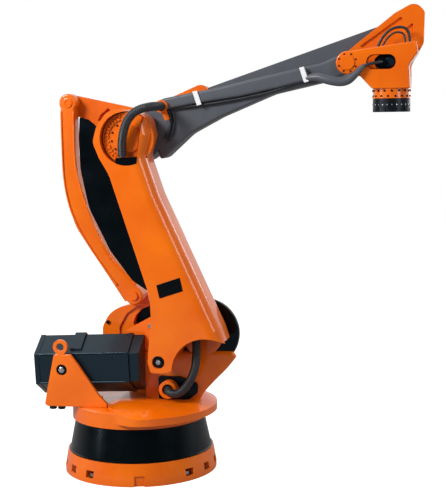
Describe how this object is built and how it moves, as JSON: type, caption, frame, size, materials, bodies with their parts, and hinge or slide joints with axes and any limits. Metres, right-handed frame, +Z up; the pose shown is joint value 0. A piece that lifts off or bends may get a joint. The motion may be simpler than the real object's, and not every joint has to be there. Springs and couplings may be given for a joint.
{
  "type": "palletising robot arm",
  "caption": "Floor-mounted industrial palletising arm: slewing column, parallel-link rods and a carbon forearm that keep the tool flange level.",
  "frame": {"origin": "centre of the base's underside, on the slewing axis", "axes": "+Z up along the slewing axis, +X the way the arm reaches at rest, -Y towards the side with the hose and the motor bracket"},
  "size_m": [2.3287, 0.9439, 2.7847],
  "materials": {
    "orange_enamel": "gloss orange enamel on castings",
    "black_enamel": "gloss black enamel",
    "carbon_shell": "satin carbon fibre laminate",
    "bright_steel": "bright zinc-plated steel",
    "black_steel": "black-oxide steel",
    "hose_rubber": "matte black corrugated hose",
    "white_nylon": "white nylon strap",
    "cast_iron": "machined iron, hidden"
  },
  "bodies": {
    "base": {"base_flange": "orange_enamel", "base_cover": "black_enamel", "base_pedestal": "cast_iron"},
    "column": {"turntable": "orange_enamel", "column_casting": "orange_enamel", "rear_horn": "orange_enamel", "shoulder_gear": "black_enamel", "motor_bracket": "orange_enamel", "hose_port": "orange_enamel", "motor_housing": "black_enamel", "motor_rear_cap": "black_enamel", "motor_front_cap": "black_enamel", "motor_adapter": "black_enamel", "motor_band": "black_enamel", "motor_tie_rods": "black_enamel", "cable_tray": "black_enamel", "horn_cover": "black_enamel", "gear_cover": "orange_enamel", "slew_motor": "black_enamel", "bracket_bolt": "bright_steel", "bracket_spacer": "cast_iron", "lifting_eye": "orange_enamel", "base_hose": "hose_rubber"},
    "link_arm": {"link_casting": "orange_enamel", "shoulder_hub": "cast_iron", "elbow_gear": "orange_enamel", "elbow_shaft": "cast_iron", "rear_guard": "black_enamel", "lug_bolt": "black_steel", "arm_plaque": "black_enamel", "hose_socket": "black_enamel", "elbow_hose_lower": "hose_rubber"},
    "rear_rod": {"rear_rod": "orange_enamel"},
    "elbow_lever": {"elbow_lever": "orange_enamel", "elbow_hose_upper": "hose_rubber"},
    "forearm": {"forearm_hub": "carbon_shell", "forearm_beam": "carbon_shell", "cable_sleeve": "carbon_shell", "sleeve_ties": "white_nylon", "hose_clamp": "orange_enamel"},
    "front_rod": {"front_rod": "carbon_shell"},
    "wrist": {"wrist_casting": "orange_enamel", "wrist_plate": "orange_enamel", "wrist_collar": "orange_enamel", "wrist_connector": "black_enamel"},
    "tool": {"tool_flange": "black_steel"}
  },
  "joints": [
    {"name": "slew", "type": "hinge", "parent": "base", "child": "column", "pos_m": [0, 0, 0], "axis": [0, 0, 1], "range_deg": [-155, 155]},
    {"name": "shoulder", "type": "hinge", "parent": "column", "child": "link_arm", "pos_m": [0.425, 0, 0.85], "axis": [0, 1, 0], "range_deg": [-16, 64], "deforming": ["base_hose"]},
    {"name": "rear_rod_swing", "type": "hinge", "parent": "column", "child": "rear_rod", "pos_m": [-0.02704, 0, 1.06368], "axis": [0, 1, 0], "range_deg": [-16, 64]},
    {"name": "lever_level", "type": "hinge", "parent": "link_arm", "child": "elbow_lever", "pos_m": [0.03614, 0, 2.03272], "axis": [0, 1, 0], "range_deg": [-64, 16], "deforming": ["elbow_hose_lower"]},
    {"name": "forearm_lift", "type": "hinge", "parent": "elbow_lever", "child": "forearm", "pos_m": [0.03614, 0, 2.03272], "axis": [0, 1, 0], "range_deg": [-17, 53], "deforming": ["elbow_hose_upper"]},
    {"name": "front_rod_swing", "type": "hinge", "parent": "elbow_lever", "child": "front_rod", "pos_m": [0.39524, 0, 2.28697], "axis": [0, 1, 0], "range_deg": [-17, 53]},
    {"name": "wrist_level", "type": "hinge", "parent": "forearm", "child": "wrist", "pos_m": [1.29961, 0, 2.44812], "axis": [0, 1, 0], "range_deg": [-53, 17]},
    {"name": "tool_turn", "type": "hinge", "parent": "wrist", "child": "tool", "pos_m": [1.54461, 0, 2.3], "axis": [0, 0, 1], "range_deg": [-350, 350]}
  ],
  "couplings": [
    {"joint": "rear_rod_swing", "follows": "shoulder", "ratio": 1},
    {"joint": "lever_level", "follows": "shoulder", "ratio": -1},
    {"joint": "front_rod_swing", "follows": "forearm_lift", "ratio": 1},
    {"joint": "wrist_level", "follows": "forearm_lift", "ratio": -1}
  ]
}
